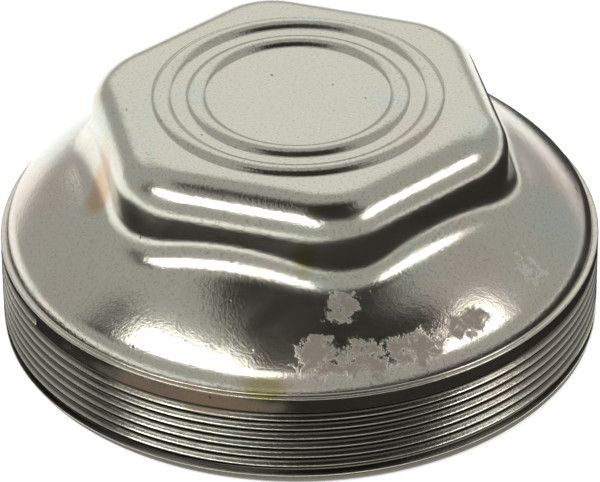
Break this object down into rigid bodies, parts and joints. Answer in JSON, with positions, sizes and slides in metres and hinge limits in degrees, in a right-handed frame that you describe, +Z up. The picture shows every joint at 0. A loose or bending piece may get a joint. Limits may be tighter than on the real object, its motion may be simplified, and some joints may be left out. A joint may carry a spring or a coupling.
{
  "type": "screw-on hub dust cap",
  "caption": "Pressed steel dust cap for a wheel hub: hexagonal crown with raised rings on a round dome, above an externally screwed skirt.",
  "frame": {"origin": "centre of the open rim, on the plane that the rim stands on", "axes": "+Z up along the cap's axis, from the open rim to the hexagonal crown; +X through two opposite corners of the hexagon, +Y square to two of its flats"},
  "size_m": [0.11, 0.11, 0.0484],
  "materials": {
    "zinc_plate": "bright zinc plate, faintly iridescent, lightly pitted and stained"
  },
  "bodies": {
    "root": {"cap": "zinc_plate"}
  },
  "joints": []
}
